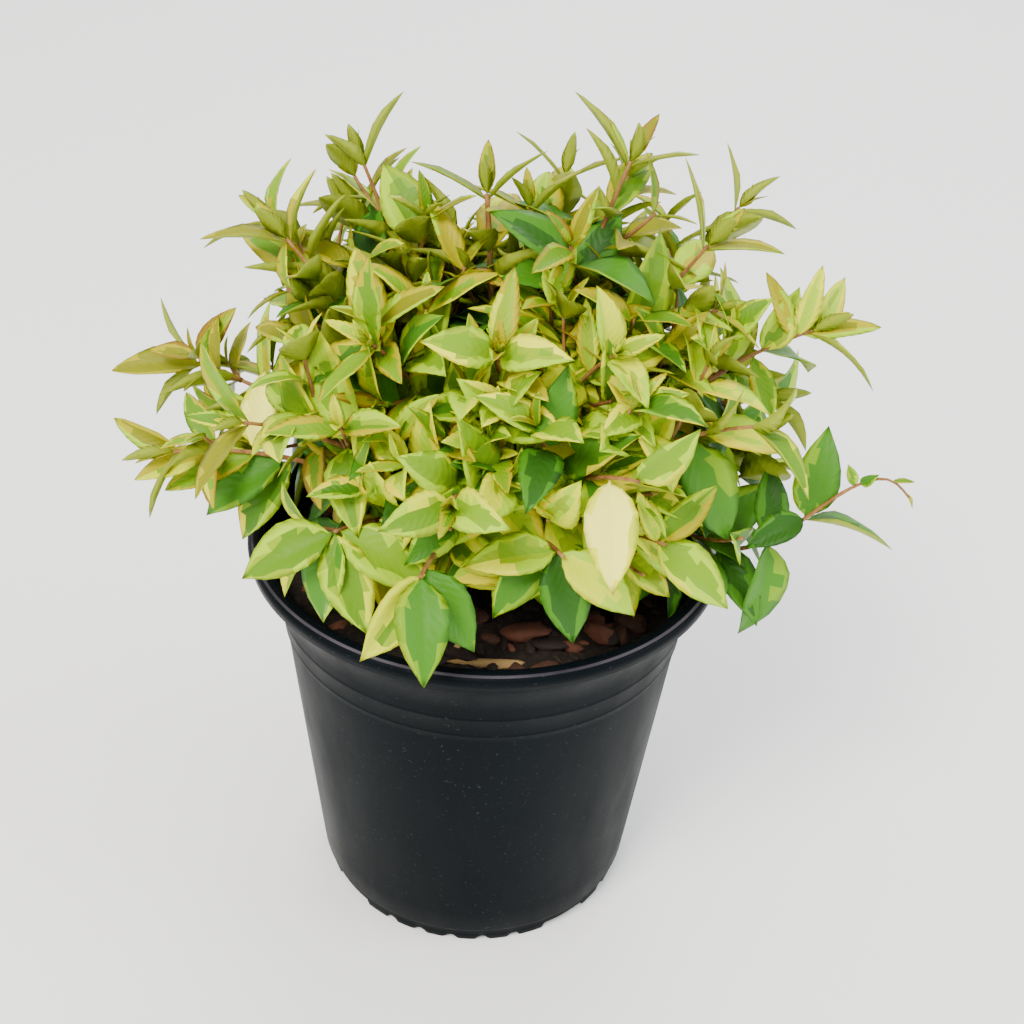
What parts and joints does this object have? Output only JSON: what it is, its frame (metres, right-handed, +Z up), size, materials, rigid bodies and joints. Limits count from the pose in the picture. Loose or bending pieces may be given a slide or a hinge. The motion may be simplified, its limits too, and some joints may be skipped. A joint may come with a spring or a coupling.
{
  "type": "potted shrub",
  "caption": "Small bushy glossy abelia with arching leafy shoots and yellow-edged green leaves, in a round black plastic nursery pot filled with growing mix",
  "frame": {"origin": "middle of the pot's flat underside, on the surface that it stands on", "axes": "+Z up along the pot, -Y towards the viewer of the picture, +X to the viewer's right"},
  "size_m": [0.3014, 0.2618, 0.3431],
  "materials": {
    "pot_plastic": "blue-black satin plastic with fine dust",
    "growing_mix": "dark peaty mix with chips of bark",
    "stem_bark": "brown flaking bark",
    "bough_bark": "smooth reddish-brown young bark",
    "foliage": "yellow-edged green leaves, softly shiny"
  },
  "bodies": {
    "root": {"bough_back": "bough_bark", "bough_back_left": "bough_bark", "bough_back_left_skirt": "bough_bark", "bough_back_right": "bough_bark", "bough_back_right_skirt": "bough_bark", "bough_back_tuft": "bough_bark", "bough_front_left": "bough_bark", "bough_front_left_skirt": "bough_bark", "bough_front_right": "bough_bark", "bough_front_right_skirt": "bough_bark", "bough_front_skirt": "bough_bark", "bough_left_arm": "bough_bark", "bough_left_high": "bough_bark", "bough_left_low": "bough_bark", "bough_right_arm": "bough_bark", "bough_right_back": "bough_bark", "bough_right_cluster": "bough_bark", "bough_right_low": "bough_bark", "bough_right_shoulder": "bough_bark", "bough_right_skirt": "bough_bark", "bough_right_trailing": "bough_bark", "bough_top_left": "bough_bark", "bough_top_right": "bough_bark", "bough_upper_left": "bough_bark", "foliage_back": "foliage", "foliage_back_left": "foliage", "foliage_back_left_skirt": "foliage", "foliage_back_right": "foliage", "foliage_back_right_skirt": "foliage", "foliage_back_tuft": "foliage", "foliage_front_centre": "foliage", "foliage_front_left": "foliage", "foliage_front_left_skirt": "foliage", "foliage_front_middle": "foliage", "foliage_front_right": "foliage", "foliage_front_right_skirt": "foliage", "foliage_front_skirt": "foliage", "foliage_front_upper_left": "foliage", "foliage_front_upper_right": "foliage", "foliage_left_arm": "foliage", "foliage_left_high": "foliage", "foliage_left_low": "foliage", "foliage_right_arm": "foliage", "foliage_right_back": "foliage", "foliage_right_cluster": "foliage", "foliage_right_low": "foliage", "foliage_right_shoulder": "foliage", "foliage_right_skirt": "foliage", "foliage_right_trailing": "foliage", "foliage_top_centre": "foliage", "foliage_top_left": "foliage", "foliage_top_right": "foliage", "foliage_upper_left": "foliage", "growing_mix": "growing_mix", "main_stem": "stem_bark", "pot": "pot_plastic"}
  },
  "joints": []
}
